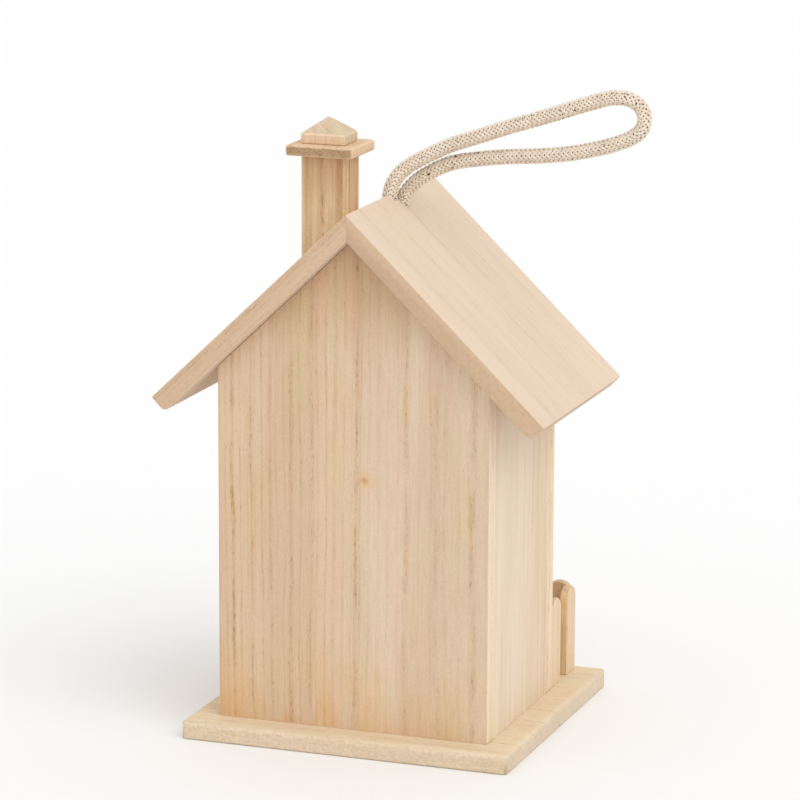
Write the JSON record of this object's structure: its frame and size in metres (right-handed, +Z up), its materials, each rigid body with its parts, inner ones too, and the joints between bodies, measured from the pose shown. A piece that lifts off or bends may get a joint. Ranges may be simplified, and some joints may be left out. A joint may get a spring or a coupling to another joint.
{
  "type": "birdhouse",
  "caption": "Small unfinished wooden birdhouse: gable roof, chimney, round entrance with perch, picket-fenced yard and a rope loop to hang it by.",
  "frame": {"origin": "centre of the base board's underside", "axes": "+Z up, the entrance wall faces -Y, the back wall faces +Y, the chimney is on the +X slope of the roof"},
  "size_m": [0.1659, 0.115, 0.2316],
  "materials": {
    "base_wood": "unfinished, sanded",
    "wall_wood": "unfinished, sanded",
    "roof_wood": "unfinished, sanded",
    "trim_wood": "unfinished, sanded",
    "cotton_rope": "braided, matte",
    "nail_steel": "bright wire"
  },
  "bodies": {
    "root": {"base_board": "base_wood", "back_wall": "wall_wood", "front_wall": "wall_wood", "left_wall": "wall_wood", "right_wall": "wall_wood", "left_roof_panel": "roof_wood", "right_roof_panel": "roof_wood", "perch": "trim_wood", "chimney_post": "trim_wood", "chimney_slab": "roof_wood", "chimney_cap": "roof_wood", "front_picket_1": "trim_wood", "front_picket_2": "trim_wood", "front_picket_3": "trim_wood", "front_picket_4": "trim_wood", "front_picket_5": "trim_wood", "front_picket_6": "trim_wood", "left_picket_1": "trim_wood", "left_picket_2": "trim_wood", "right_picket_1": "trim_wood", "right_picket_2": "trim_wood", "front_fence_rail": "trim_wood", "left_fence_rail": "trim_wood", "right_fence_rail": "trim_wood", "base_nails": "nail_steel", "hanging_rope": "cotton_rope", "rope_knot": "cotton_rope"}
  },
  "joints": []
}
